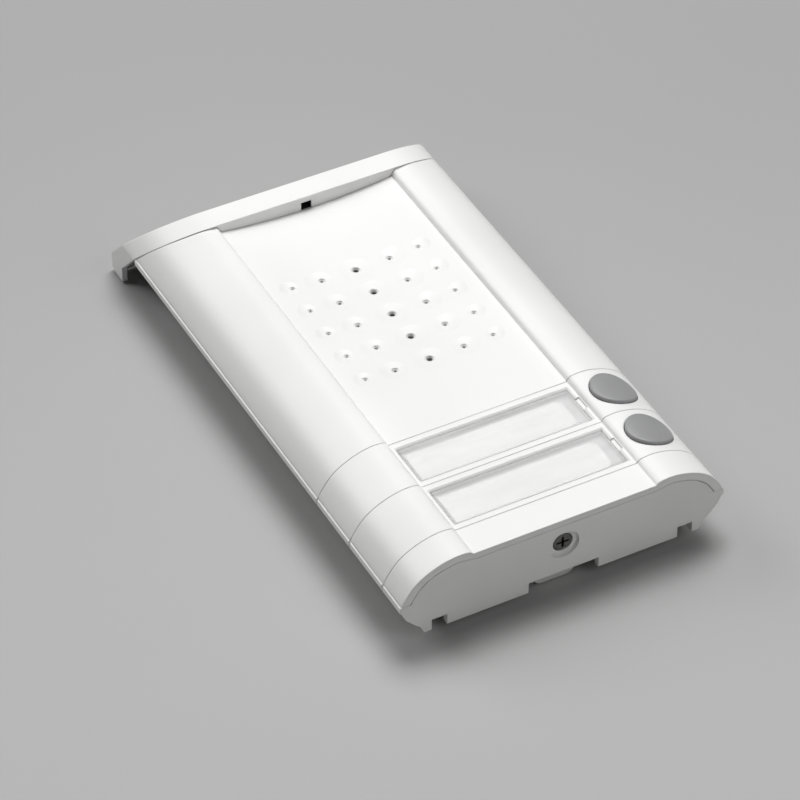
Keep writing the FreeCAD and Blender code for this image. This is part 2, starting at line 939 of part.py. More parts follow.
def hood_hollow():
    slope_wall = hood_wall * math.hypot(1, hood_slant)
    inner_end = overall_length - hood_wall
    corner_z = (seam_base + hood_band - slope_wall - inner_end) / hood_slant
    outline = [
        (seam_at(hood_top + 2) - hood_reach, hood_top + 2),
        (seam_at(-2) - 2 * hood_reach, -2),
        (inner_end, -2),
        (inner_end, corner_z),
        (outer_plane_at(hood_top + 2) - slope_wall, hood_top + 2),
    ]
    return prism_along_x(outline, -half_width, half_width)


def hood_screw_places():
    return [(side * hood_screw_x, hood_front + hood_screw_inset) for side in (-1, 1)]


def nose(gap, v0, v1):
    """Space of the boot's nose, which fills the wall behind the lip of the hole."""
    half_x = mic_hole_width / 2 + nose_wall + gap
    half_z = mic_hole_height / 2 + nose_wall + gap
    return box(-half_x, half_x, v0, v1, mic_hole_z - half_z, mic_hole_z + half_z)


def mic_seat():
    """Ribs that hold the microphone boot behind the front wall."""
    v0 = hood_front + hood_wall - overlap
    low = boot_low - mic_rib
    outer = boot_half_width + mic_rib
    parts = [box(-outer, outer, v0, boot_end, low, boot_low)]
    for side in (-1, 1):
        xs = sorted((side * (boot_half_width + boot_gap), side * outer))
        parts.append(box(xs[0], xs[1], v0, boot_end, low, hood_top - hood_wall + overlap))
    parts.append(box(-outer, outer, v0, hood_front + hood_wall + mic_seat_lip - overlap,
                     low, hood_wall_foot + 2 * overlap))
    return parts


def hook_shelf(side):
    """Shelf that hangs under the lip of one hook of the mounting plate."""
    front = plate_end + hook_lip - shelf_overlap
    xs = sorted((side * (hook_x - hook_half - shelf_margin),
                 side * (hook_x + hook_half + shelf_margin)))
    return box(xs[0], xs[1], front, overall_length - hood_wall + overlap,
               shelf_z, shelf_z + shelf_thickness)


def hood():
    low_v = hood_front - hood_reach / 2
    outer = hood_arch(low_v, overall_length, 0, 0)
    shell = outer.common(hood_region())
    inner = hood_arch(low_v - 1, overall_length + 1, hood_wall, -2).common(hood_hollow())
    shell = shell.cut(inner)
    wall_edge = panel_half_width - seam_gap
    wall_end = panel_half_width + hood_wall_reach
    above_wings = box(-wall_end, wall_end, hood_front, hood_front + hood_wall,
                      panel_height, hood_top + 1)
    above_wings = above_wings.cut(outer_body(low_v, overall_length, 2 * seam_gap))
    wall = box(-wall_edge, wall_edge, hood_front, hood_front + hood_wall,
               hood_wall_foot, hood_top + 1)
    wall = wall.fuse(above_wings).removeSplitter().common(outer)
    bosses = []
    for x, v in hood_screw_places():
        boss = post(x, v, deck_top + clearance, hood_top, hood_boss_radius)
        bosses.append(boss.common(outer).common(hood_envelope()))
    body = joined(shell, [wall] + bosses + mic_seat() + [hook_shelf(-1), hook_shelf(1)])
    hole = box(-mic_hole_width / 2, mic_hole_width / 2, hood_front - 1, boot_start,
               mic_hole_z - mic_hole_height / 2, mic_hole_z + mic_hole_height / 2)
    body = body.cut(hole).cut(nose(clearance / 2, hood_front + mic_hole_lip, boot_start))
    for x, v in hood_screw_places():
        body = body.cut(post(x, v, deck_top - 1, deck_top + hood_screw_grip + 1, hood_screw_radius))
    return body


def hood_envelope():
    """Everything on the inner side of the hood's outer slope."""
    outline = [
        (hood_front, -1),
        (outer_plane_at(-1) - overlap, -1),
        (outer_plane_at(hood_top) - overlap, hood_top),
        (hood_front, hood_top),
    ]
    return prism_along_x(outline, -half_width, half_width)


def hood_screws():
    screws = []
    low = deck_z - hood_screw_head_height
    for x, v in hood_screw_places():
        head = post(x, v, low, deck_z, hood_screw_head)
        shank = post(x, v, deck_z - clearance, deck_top + hood_screw_grip, hood_screw_radius)
        slot = box(x - hood_screw_head - 1, x + hood_screw_head + 1, v - driver_slot_half,
                   v + driver_slot_half, low - 1, low + driver_slot_depth)
        screws.append(head.fuse(shank).removeSplitter().cut(slot))
    return Part.makeCompound(screws)


# Microphone

def microphone_boot():
    high = hood_top - hood_wall - boot_gap
    slope = outer_plane_at(0) - hood_wall * math.hypot(1, hood_slant) - boot_gap
    outline = [
        (boot_start, boot_low),
        (boot_end, boot_low),
        (boot_end, min(high, (slope - boot_end) / hood_slant)),
        (max(boot_start, slope - hood_slant * high), high),
        (boot_start, high),
    ]
    if (slope - boot_end) / hood_slant > high:
        outline = [
            (boot_start, boot_low),
            (boot_end, boot_low),
            (boot_end, high),
            (boot_start, high),
        ]
    body = prism_along_x(outline, -boot_half_width, boot_half_width)
    body = joined(body, [nose(0, hood_front + mic_hole_lip + clearance / 2, boot_start)])
    bore = rod(0, mic_axis_z, boot_end - mic_length - boot_gap, boot_end + 1, mic_radius)
    low = mic_hole_z - mic_hole_height / 2
    outer_channel = box(-mic_hole_width / 2, mic_hole_width / 2, hood_front, boot_start,
                        low, low + mic_hole_height)
    inner_channel = box(-mic_hole_width / 2, mic_hole_width / 2, boot_start - overlap,
                        boot_end - mic_length, low, mic_axis_z + mic_radius - overlap)
    return body.cut(bore).cut(outer_channel).cut(inner_channel)


def microphone_capsule():
    front = boot_end - mic_length
    body = rod(0, mic_axis_z, front, boot_end, mic_radius - boot_gap / 2)
    return body.cut(rod(0, mic_axis_z, front - 1, front + mic_seat_lip, mic_port_radius))


# Rear housing

def side_points(setback):
    """Right side of the tub under the flange, from the flange to the leg."""
    height = flange_z - foot_gap
    return [(half_width - inset - setback, foot_gap + share * height)
            for inset, share in side_shape]


def mirrored(points):
    return points + [(-x, z) for x, z in reversed(points)]


def tub_envelope(setback, v0, v1):
    return prism_along_y(mirrored(side_points(setback)), v0, v1)


def end_wall_body():
    """End wall: it fills the open end of the cover and reaches down to the feet."""
    section = inner_points(0, strip_ceiling, wing_thickness + clearance)
    right = [(x, z - clearance if i == 0 else z) for i, (x, z) in enumerate(section)]
    right[-1] = (right[-1][0], flange_z - overlap)
    upper = prism_along_y(mirrored(right), 0, end_wall)
    return upper.fuse(tub_envelope(0, 0, end_wall))


def flanges():
    """Ledges along both sides that the wings stand on."""
    length = seam_at(flange_z + 2) - seam_gap
    parts = []
    for side in (-1, 1):
        xs = sorted((side * (wing_edge_x - wing_thickness - flange_bearing), side * half_width))
        strip = box(xs[0], xs[1], 0, length, flange_z - overlap, wing_edge_z - clearance)
        outer = [edge for edge in strip.Edges
                 if abs(abs(edge.BoundBox.Center.x) - half_width) < 0.01
                 and edge.BoundBox.YLength > length / 2]
        strip = strip.makeFillet(flange_round, outer)
        for k in range(module_count + 1):
            v = strip_length + k * module_pitch
            cut_x = sorted((side * (half_width - seam_notch_depth), side * (half_width + 1)))
            strip = strip.cut(box(cut_x[0], cut_x[1], v - seam_notch_half, v + seam_notch_half,
                                  0, panel_height))
        parts.append(strip)
    return parts


def leg_slots(low, high):
    """Room for the snap legs in the deck and beside the circuit board."""
    places = [(strip_length - strip_leg_inset, module_leg_length)]
    for index in range(1, module_count + 1):
        for offset in (-module_leg_offset, module_leg_offset):
            places.append((module_centre(index) + offset, module_leg_length))
    places += [(v, panel_leg_length) for v in panel_leg_places()]
    cuts = []
    for side in (-1, 1):
        for v, length in places:
            xs = sorted((side * (leg_x - leg_hole_gap),
                         side * (leg_x + leg_thickness + leg_hole_gap)))
            half = length / 2 + leg_hole_gap
            cuts.append(box(xs[0], xs[1], v - half, v + half, low, high))
    return cuts


def board_screw_places():
    vs = (board_start + board_screw_inset, board_end - board_screw_inset)
    return [(side * board_screw_x, v) for side in (-1, 1) for v in vs]


def contact_places():
    start = -(terminal_count - 1) / 2 * terminal_pitch
    return [start + i * terminal_pitch for i in range(terminal_count)]


def screw_housing(body):
    """The well for the plate's lug, the captive nut's cage and the screw's seat."""
    body = body.cut(box(-well_half, well_half, end_wall, cross_wall_v, foot_gap - 1, deck_top + 3))
    cage_half = nut_half + cage_wall
    low = screw_z - nut_half - cage_lid
    high = screw_z + nut_half + cage_lid
    cage = box(-cage_half, cage_half, lug_end + nut_gap, cross_wall_v + cross_wall, low, high)
    wall = box(-well_half, well_half, cross_wall_v, cross_wall_v + cross_wall, deck_z, high)
    boss = rod(0, screw_z, end_wall - overlap, screw_boss_end, screw_boss_radius)
    body = joined(body, [cage, wall, boss])
    room = nut_half + thread_gap
    body = body.cut(box(-room, room, lug_end, cross_wall_v, screw_z - room, screw_z + room))
    body = body.cut(rod(0, screw_z, -1, screw_recess_depth, screw_recess_radius))
    body = body.cut(rod(0, screw_z, -1, screw_sunk + screw_head_height + thread_gap,
                        screw_head_radius + screw_hole_gap))
    return body.cut(rod(0, screw_z, -1, cross_wall_v + cross_wall + 1, screw_radius + clearance))


def rear_housing():
    tub = tub_envelope(tub_setback, end_wall / 2, tub_top)
    room = tub_envelope(tub_setback + tub_wall, end_wall, tub_top - tub_wall)
    below_deck = box(-half_width, half_width, -5, tub_top + 5, -5, deck_z)
    tub = tub.cut(room.common(below_deck))
    foot_room = leg_outer - tub_setback - tub_wall
    tub = tub.cut(box(-foot_room, foot_room, end_wall, tub_top - tub_wall, 0, deck_z))
    body = screw_housing(joined(tub, [end_wall_body()] + flanges()))

    cuts = leg_slots(deck_z - leg_nib_height - leg_hole_gap, deck_top + leg_nib_height)
    for side in (-1, 1):
        xs = sorted((side * notch_inner, side * notch_outer))
        cuts.append(box(xs[0], xs[1], -1, end_wall + 1, foot_gap - 1, foot_gap + notch_height))
    cuts.append(box(-cutout_half, cutout_half, -1, end_wall + 1, foot_gap - 1,
                    foot_gap + cutout_height))
    first, last = contact_places()[0], contact_places()[-1]
    cuts.append(box(first - contact_slot_half, last + contact_slot_half,
                    contact_v - contact_slot_half, contact_v + contact_slot_half,
                    deck_z - 1, deck_top + 1))
    cuts.append(post(trimmer_x, trimmer_v, deck_z - 1, deck_top + 1, trimmer_access))
    body = body.cut(Part.makeCompound(cuts))

    stands = []
    for x, v in board_screw_places():
        stands.append(post(x, v, deck_top - overlap, board_z, board_stand_radius))
    seat_z = speaker_top - speaker_rim
    inner = speaker_radius - speaker_rim_width + 4 * clearance
    outer = speaker_radius + speaker_ring_wall
    stands.append(ring(0, grille_centre, deck_top - overlap, seat_z, inner, outer))
    stands.append(ring(0, grille_centre, seat_z - overlap, speaker_top,
                       speaker_radius + 2 * clearance, outer))
    body = joined(body, stands)
    for x, v in board_screw_places():
        body = body.cut(post(x, v, deck_z - 1, board_z + 1, board_screw_radius))
    for x, v in hood_screw_places():
        body = body.cut(post(x, v, deck_z - 1, deck_top + 1, hood_screw_radius + screw_hole_gap))
    passage = box(-lead_passage_half, lead_passage_half, grille_centre - outer - 1,
                  grille_centre - inner + 1, deck_top + deck_thickness, speaker_top + 1)
    return body.cut(passage)


# Circuit board

def circuit_board():
    board = box(-board_half_width, board_half_width, board_start, board_end, board_z, board_top)
    for x, v in board_screw_places():
        board = board.cut(post(x, v, board_z - 1, board_top + 1, board_screw_radius + 2 * clearance))
    for x in contact_places():
        board = board.cut(post(x, contact_v, board_z - 1, board_top + 1, contact_pin_radius))
    board = board.cut(Part.makeCompound(leg_slots(board_z - 1, board_top + 1)))
    return board.cut(post(trimmer_x, trimmer_v, board_z - 1, board_top + 1,
                          trimmer_access + 3 * clearance))


def board_screws():
    screws = []
    for x, v in board_screw_places():
        shank = post(x, v, deck_z + overlap, board_top + overlap, board_screw_radius)
        head_top = board_top + board_screw_head_height
        head = post(x, v, board_top, head_top, board_screw_head)
        reach = board_screw_head - board_screw_head_height / 2
        low = head_top - cross_slot_depth
        cross = box(x - reach, x + reach, v - cross_slot_half, v + cross_slot_half, low, head_top + 1)
        cross = cross.fuse(box(x - cross_slot_half, x + cross_slot_half, v - reach, v + reach,
                               low, head_top + 1))
        screws.append(shank.fuse(head).removeSplitter().cut(cross))
    return Part.makeCompound(screws)


def contact_pins():
    low = plate_thickness + terminal_height + contact_pad_thickness + contact_gap
    pins = []
    for x in contact_places():
        pin = post(x, contact_v, low, board_top + contact_tail, contact_pin_radius)
        collar = post(x, contact_v, board_z - contact_collar_height, board_z,
                      contact_pin_radius + contact_collar)
        pins.append(pin.fuse(collar).removeSplitter())
    return Part.makeCompound(pins)


def backlight_leds():
    leds = []
    for index in range(1, module_count + 1):
        centre = module_centre(index)
        for k in range(led_count):
            x = (k - (led_count - 1) / 2) * led_pitch
            leds.append(box(x - led_half, x + led_half, centre - led_depth, centre + led_depth,
                            board_top, board_top + led_height))
    return Part.makeCompound(leds)


def amplifier_chip():
    v = board_end - chip_from_end
    body = box(chip_x - chip_half_length, chip_x + chip_half_length,
               v - chip_half_width, v + chip_half_width,
               board_top + chip_lift, board_top + chip_lift + chip_height)
    feet = []
    for k in range(chip_pins):
        x = chip_x + (k - (chip_pins - 1) / 2) * chip_pin_pitch
        for side in (-1, 1):
            ends = sorted((v + side * (chip_half_width - clearance),
                           v + side * (chip_half_width + chip_pin_reach)))
            feet.append(box(x - chip_pin_width / 2, x + chip_pin_width / 2, ends[0], ends[1],
                            board_top, board_top + chip_pin_height))
    return joined(body, feet)


def capacitors():
    return Part.makeCompound([post(x, board_end - back, board_top, board_top + can_height, can_radius)
                              for x, back in can_places])


def lead_sockets():
    sockets = []
    for x, half in ((0, speaker_socket_half), (microphone_socket_x, microphone_socket_half)):
        sockets.append(box(x - half, x + half, socket_v - socket_half_depth,
                           socket_v + socket_half_depth, board_top, board_top + socket_height))
    return Part.makeCompound(sockets)


def trimmer_body():
    body = box(trimmer_x - trimmer_half, trimmer_x + trimmer_half,
               trimmer_v - trimmer_half, trimmer_v + trimmer_half,
               board_top, board_top + trimmer_height)
    bore = post(trimmer_x, trimmer_v, board_top - 1,
                board_top + trimmer_floor + trimmer_rotor_height + clearance,
                trimmer_radius + clearance)
    return body.cut(bore)


def trimmer_rotor():
    low = board_top + trimmer_floor
    neck_low = board_z + trimmer_floor
    rotor = post(trimmer_x, trimmer_v, low, low + trimmer_rotor_height, trimmer_radius)
    neck = post(trimmer_x, trimmer_v, neck_low, low + clearance, trimmer_access - clearance)
    reach = trimmer_access - trimmer_slot_half
    slot = box(trimmer_x - reach, trimmer_x + reach, trimmer_v - trimmer_slot_half,
               trimmer_v + trimmer_slot_half, neck_low - 1, neck_low + trimmer_slot_depth)
    return rotor.fuse(neck).removeSplitter().cut(slot)


# Loudspeaker

def turned(points):
    """A solid turned about the middle of the grille from radius and height."""
    outline = [Vec(r, at(grille_centre), z) for r, z in points]
    face = Part.Face(Part.makePolygon(outline + outline[:1]))
    return face.revolve(Vec(0, at(grille_centre), 0), Vec(0, 0, 1), 360)


def speaker_basket():
    top = speaker_top
    foot = top - speaker_depth + magnet_height
    rim = speaker_radius - speaker_rim_width
    wall = speaker_rim * 0.8
    return turned([
        (rim + 2 * clearance, top - 2.2 * speaker_rim),
        (magnet_radius + 1.5 * wall, foot),
        (speaker_hub, foot),
        (speaker_hub, foot + wall),
        (magnet_radius + wall, foot + wall),
        (rim - 4 * clearance, top - 1.5 * speaker_rim),
        (rim, top - 1.2 * speaker_rim),
        (rim, top),
        (speaker_radius, top),
        (speaker_radius, top - speaker_rim),
        (rim + 3 * clearance, top - speaker_rim),
    ])


def speaker_magnet():
    low = speaker_top - speaker_depth
    disc = post(0, grille_centre, low, low + magnet_height, magnet_radius)
    groove = ring(0, grille_centre, low + magnet_height / 4, low + magnet_height / 3,
                  magnet_radius - 4 * clearance, magnet_radius + 1)
    return disc.cut(groove)


def speaker_cone():
    edge = speaker_top - 0.6 * speaker_rim
    foot = speaker_top - speaker_depth + magnet_height + speaker_rim + clearance
    rim = speaker_radius - speaker_rim_width - boot_gap
    return turned([
        (0, foot + 0.9 * speaker_rim),
        (cone_dome, foot),
        (rim - 2 * cone_roll, edge - 0.3 * speaker_rim),
        (rim - cone_roll, edge + clearance),
        (rim, edge),
        (rim, edge + cone_thickness),
        (rim - cone_roll, edge + clearance + cone_thickness),
        (rim - 2 * cone_roll - clearance, edge - 0.3 * speaker_rim + cone_thickness),
        (cone_dome, foot + cone_thickness),
        (0, foot + 0.9 * speaker_rim + cone_thickness),
    ])


def speaker_gasket():
    return ring(0, grille_centre, speaker_top, panel_ceiling,
                speaker_radius - speaker_rim_width + 6 * clearance, speaker_radius)


# Mounting plate

def wall_slot_places():
    return [(side * wall_slot_x, v) for side in (-1, 1) for v in (wall_slot_low, wall_slot_high)]


def rounded_slab(height):
    slab = box(-plate_half_width, plate_half_width, plate_start, plate_end, 0, height)
    corners = [edge for edge in slab.Edges if edge.BoundBox.ZLength > height / 2]
    return slab.makeFillet(plate_corner, corners)


def lug():
    """Upright lug at the bottom end that the fixing screw clamps."""
    plate = box(-lug_half_width, lug_half_width, lug_front, lug_end, lug_foot, lug_top)
    low_corners = [edge for edge in plate.Edges
                   if edge.BoundBox.YLength > lug_thickness / 2 and edge.BoundBox.ZMax < lug_top - 1]
    return plate.makeFillet(lug_corner, low_corners)


def mounting_plate():
    rim = rounded_slab(plate_rim_height)
    rim = rim.cut(box(-plate_half_width + plate_rim, plate_half_width - plate_rim,
                      plate_start + plate_rim, plate_end - plate_rim, -1, plate_rim_height + 1))
    parts = [rim, lug()]
    for x, v in wall_slot_places():
        parts.append(slot_along_y(x, v, 0, plate_thickness + wall_slot_pad,
                                  wall_slot_half_length, wall_slot_radius + wall_slot_land))
    parts.append(box(-lug_half_width, lug_half_width, lug_front + lug_thickness / 3,
                     plate_start + plate_rim, lug_foot, lug_foot + plate_thickness))
    for side in (-1, 1):
        xs = sorted((side * (hook_x - hook_half), side * (hook_x + hook_half)))
        parts.append(box(xs[0], xs[1], plate_end - hook_upright, plate_end, 0, hook_height))
        parts.append(box(xs[0], xs[1], plate_end - overlap, plate_end + hook_lip,
                         hook_height - hook_lip_thickness, hook_height))
    parts.append(ring(0, entry_centre, 0, plate_thickness, entry_radius, entry_radius + entry_land))
    body = joined(rounded_slab(plate_thickness), parts)
    body = body.cut(post(0, entry_centre, -1, plate_thickness + 1, entry_radius))
    for x, v in wall_slot_places():
        body = body.cut(slot_along_y(x, v, -1, plate_thickness + wall_slot_pad + 1,
                                     wall_slot_half_length, wall_slot_radius))
    slot = box(-screw_slot_half, screw_slot_half, lug_front - 1, lug_end + 1, screw_z, lug_top + 1)
    slot = slot.fuse(rod(0, screw_z, lug_front - 1, lug_end + 1, screw_slot_half))
    return body.cut(slot)


def cable_grommet():
    """Rubber grommet whose lip and skirt grip the edge of the cable entry."""
    top = plate_thickness + boot_gap
    fit = entry_radius - boot_gap
    outline = [
        (grommet_bore, plate_thickness - grommet_web),
        (entry_radius - grommet_wall, plate_thickness - grommet_web),
        (entry_radius - grommet_wall, grommet_back),
        (fit, grommet_back),
        (fit, top),
        (entry_radius + grommet_lip, top),
        (entry_radius + grommet_lip - grommet_web, plate_thickness + grommet_lip_thickness),
        (entry_radius - grommet_wall - grommet_web, plate_thickness + grommet_lip_thickness),
        (grommet_bore + grommet_lip, plate_thickness),
        (grommet_bore, plate_thickness),
    ]
    points = [Vec(r, at(entry_centre), z) for r, z in outline]
    face = Part.Face(Part.makePolygon(points + points[:1]))
    return face.revolve(Vec(0, at(entry_centre), 0), Vec(0, 0, 1), 360)


# Terminals

def terminal_block():
    v0 = terminal_centre - terminal_half_depth
    v1 = terminal_centre + terminal_half_depth
    half = terminal_count * terminal_pitch / 2 + terminal_end
    top = plate_thickness + terminal_height
    block = box(-half, half, v0, v1, plate_thickness, top)
    cuts = []
    for x in contact_places():
        cuts.append(post(x, terminal_centre - terminal_screw_inset,
                         plate_thickness + terminal_mouth_top - overlap, top + 1,
                         terminal_screw_radius + terminal_screw_gap))
        cuts.append(box(x - terminal_mouth_half, x + terminal_mouth_half, v0 - 1, terminal_centre,
                        plate_thickness + terminal_floor, plate_thickness + terminal_mouth_top))
    return block.cut(Part.makeCompound(cuts))


def clamp_top():
    return plate_thickness + terminal_mouth_top - overlap


def terminal_clamps():
    v0 = terminal_centre - terminal_half_depth
    low = plate_thickness + terminal_floor + clamp_gap
    wall = (clamp_top() - low) * clamp_wall_share
    half = terminal_mouth_half - clamp_gap
    clamps = []
    for x in contact_places():
        cage = box(x - half, x + half, v0 + clamp_inset, terminal_centre - clearance,
                   low, clamp_top())
        mouth = box(x - half + wall, x + half - wall, v0,
                    terminal_centre - clearance - wall, low + wall, clamp_top() - wall)
        clamps.append(cage.cut(mouth))
    return Part.makeCompound(clamps)


def terminal_screws():
    screws = []
    v = terminal_centre - terminal_screw_inset
    high = plate_thickness + terminal_height - terminal_screw_sunk
    for x in contact_places():
        screw = post(x, v, clamp_top(), high, terminal_screw_radius)
        slot = box(x - terminal_screw_radius - 1, x + terminal_screw_radius + 1,
                   v - driver_slot_half, v + driver_slot_half,
                   high - min(cross_slot_depth, (high - clamp_top()) / 2), high + 1)
        screws.append(screw.cut(slot))
    return Part.makeCompound(screws)


def contact_pads():
    low = plate_thickness + terminal_height
    pads = []
    for x in contact_places():
        pads.append(box(x - contact_pad_half, x + contact_pad_half,
                        contact_v - contact_pad_half, contact_v + contact_pad_half,
                        low, low + contact_pad_thickness))
    return Part.makeCompound(pads)


# Fixing screw and nut

def fixing_screw():
    head_end = screw_sunk + screw_head_height
    head = rod(0, screw_z, screw_sunk, head_end, screw_head_radius)
    rim = [edge for edge in head.Edges if abs(edge.BoundBox.Center.y - at(screw_sunk)) < 0.01]
    head = head.makeFillet(screw_head_round, rim)
    shank = rod(0, screw_z, head_end - overlap, screw_tip, screw_radius)
    body = head.fuse(shank).removeSplitter()
    cross = []
    for turn in (0, 90):
        blade = box(-cross_half, cross_half, screw_sunk - 1, screw_sunk + cross_depth,
                    screw_z - cross_blade_half, screw_z + cross_blade_half)
        blade.rotate(Vec(0, 0, screw_z), Vec(0, 1, 0), turn)
        cross.append(blade)
    return body.cut(Part.makeCompound(cross))


def fixing_nut():
    end = nut_start + nut_thickness
    nut = box(-nut_half, nut_half, nut_start, end, screw_z - nut_half, screw_z + nut_half)
    return nut.cut(rod(0, screw_z, nut_start - 1, end + 1, screw_radius + thread_gap))


# Leads, straight runs joined by arcs that touch both runs

def lead(points, radius):
    path = [Vec(x, at(v), z) for x, v, z in points]
    edges = []
    start = path[0]
    for i in range(1, len(path) - 1):
        before = (path[i - 1] - path[i])
        after = (path[i + 1] - path[i])
        reach = 0.45 * min(before.Length, after.Length)
        first = path[i] + before.normalize() * reach
        last = path[i] + after.normalize() * reach
        middle = (first + last) * 0.5
        angle = math.pi - before.getAngle(after)
        bend = reach / math.tan(angle / 2)
        centre = path[i] + (middle - path[i]).normalize() * (bend / math.cos(angle / 2))
        crown = centre + (path[i] - centre).normalize() * bend
        edges.append(Part.makeLine(start, first))
        edges.append(Part.Arc(first, crown, last).toShape())
        start = last
    edges.append(Part.makeLine(start, path[-1]))
    wire = Part.Wire(edges)
    heading = edges[0].tangentAt(edges[0].FirstParameter)
    circle = Part.Wire(Part.makeCircle(radius, path[0], heading))
    return wire.makePipeShell([circle], True, True)


def speaker_leads():
    low = board_top + socket_height
    tail_z = speaker_top - 3.6
    ring_v = board_end + board_end_gap
    leads = []
    for side in (-1, 1):
        x = side * lead_spacing / 2
        points = [(x, socket_v, low), (x, socket_v, low + 1.6), (x, socket_v + 2.8, low + 1.2),
                  (x, ring_v - 0.4, tail_z + 0.4), (x, ring_v + 3.6, tail_z - 0.2),
                  (x, ring_v + 7.2, tail_z)]
        leads.append(lead(points, lead_radius))
    return Part.makeCompound(leads)


def microphone_lead():
    """A thin twin lead along the left wing, round the boss and into the capsule."""
    low = board_top + socket_height
    run_z = low - 1.4
    x = microphone_socket_x
    behind = tub_top + 0.8
    points = [
        (x, socket_v, low),
        (x, socket_v, low + 2.4),
        (x, socket_v + 6.3, low + 1.4),
        (x, grille_centre - 14.8, run_z),
        (x, hood_front - 24.5, run_z),
        (x + 2.0, hood_front - 6.5, run_z),
        (x + 8.0, hood_front + 5.5, run_z),
        (-boot_half_width - 20.4, behind, run_z - 0.6),
        (-boot_half_width - 9.4, behind + 0.6, run_z - 0.6),
        (-boot_half_width + 1.2, behind + 0.2, run_z + 1.4),
        (0, boot_end + 3.6, mic_axis_z - 2.6),
        (0, boot_end + 2.4, mic_axis_z - 0.6),
        (0, boot_end, mic_axis_z - 0.6),
    ]
    return lead(points, microphone_lead_radius)


save("mounting_plate", mounting_plate())
save("cable_grommet", cable_grommet())
save("terminal_block", terminal_block())
save("terminal_clamps", terminal_clamps())
save("terminal_screws", terminal_screws())
save("contact_pads", contact_pads())
save("rear_housing", rear_housing())
save("front_panel", front_panel())
save("bottom_strip", bottom_strip())
save("hood", hood())
save("hood_screws", hood_screws())
save("microphone_boot", microphone_boot())
save("microphone_capsule", microphone_capsule())
save("circuit_board", circuit_board())
save("board_screws", board_screws())
save("contact_pins", contact_pins())
save("backlight_leds", backlight_leds())
save("amplifier_chip", amplifier_chip())
save("capacitors", capacitors())
save("lead_sockets", lead_sockets())
save("volume_trimmer_body", trimmer_body())
save("volume_trimmer_rotor", trimmer_rotor())
save("speaker_basket", speaker_basket())
save("speaker_magnet", speaker_magnet())
save("speaker_cone", speaker_cone())
save("speaker_gasket", speaker_gasket())
save("speaker_leads", speaker_leads())
save("microphone_lead", microphone_lead())
save("fixing_screw", fixing_screw())
save("fixing_nut", fixing_nut())
for number in range(1, module_count + 1):
    save(f"call_module_frame_{number}", module_frame(number))
    save(f"label_diffuser_{number}", label_diffuser(number))
    save(f"name_label_{number}", name_label(number))
    save(f"name_cover_{number}", name_cover(number))
    save(f"call_button_{number}", call_button(number))
    save(f"switch_body_{number}", switch_body(number))
    save(f"switch_plunger_{number}", switch_plunger(number))
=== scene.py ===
import math

import bpy
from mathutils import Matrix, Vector


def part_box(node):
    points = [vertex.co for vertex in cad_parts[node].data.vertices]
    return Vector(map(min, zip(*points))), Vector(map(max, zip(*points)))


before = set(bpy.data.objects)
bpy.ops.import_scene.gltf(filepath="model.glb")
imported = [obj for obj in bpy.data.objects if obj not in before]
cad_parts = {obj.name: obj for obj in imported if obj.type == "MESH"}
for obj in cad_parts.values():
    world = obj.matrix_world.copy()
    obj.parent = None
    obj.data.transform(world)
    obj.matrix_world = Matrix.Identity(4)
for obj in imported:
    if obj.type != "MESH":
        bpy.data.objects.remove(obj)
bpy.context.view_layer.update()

bpy.ops.object.select_all(action="DESELECT")


# Mounting plate and rear housing
# The wall plate and the tub that hangs on it are moulded in white ABS. They face the
# wall, so their tool was only blasted, which leaves a matte grain.

finer = 0.55    # how much each finer layer of a noise weighs against the one before


def paint(code):
    """A colour from its sRGB hex code, as the linear values that a shader takes."""
    channels = [int(code[i:i + 2], 16) / 255 for i in (1, 3, 5)]
    linear = [c / 12.92 if c <= 0.04045 else ((c + 0.055) / 1.055) ** 2.4 for c in channels]
    return (*linear, 1.0)


def add(finish, kind, links=None, **settings):
    """Adds one node to a finish. Values, sockets and nodes go in by the socket's name or
    number, and a node stands for its first output."""
    node = finish.node_tree.nodes.new(kind)
    for name, value in settings.items():
        setattr(node, name, value)
    for name, value in (links or {}).items():
        if isinstance(value, bpy.types.Node):
            value = value.outputs[0]
        if isinstance(value, bpy.types.NodeSocket):
            finish.node_tree.links.new(value, node.inputs[name])
        else:
            node.inputs[name].default_value = value
    return node


def new_finish(name):
    """An empty finish, and the place on the piece that its patterns are read from. That
    is in metres, so a pattern's scale is 1000 over its size in millimetres."""
    finish = bpy.data.materials.new(name)
    finish.use_nodes = True
    finish.node_tree.nodes.clear()
    return finish, add(finish, "ShaderNodeTexCoord").outputs["Object"]


def coat(finish, colour, pattern, roughness, raised, depth, edge, strength=0.4,
         spread=(0.3, 0.7), **shading):
    """Ends a finish. Its roughness goes between two values while the pattern goes over the
    spread. What is raised stands out by the depth, over edges rounded to a radius, both
    in millimetres."""
    rough = add(finish, "ShaderNodeMapRange", {
        "Value": pattern, "From Min": spread[0], "From Max": spread[1],
        "To Min": roughness[0], "To Max": roughness[1]})
    rounded = add(finish, "ShaderNodeBevel", {"Radius": edge / 1000}, samples=6)
    bumps = add(finish, "ShaderNodeBump", {
        "Height": raised, "Distance": depth / 1000, "Strength": strength, "Normal": rounded})
    shader = add(finish, "ShaderNodeBsdfPrincipled", {
        "Base Color": colour, "Roughness": rough, "Normal": bumps,
        **{name.replace("_", " "): value for name, value in shading.items()}})
    add(finish, "ShaderNodeOutputMaterial", {"Surface": shader})


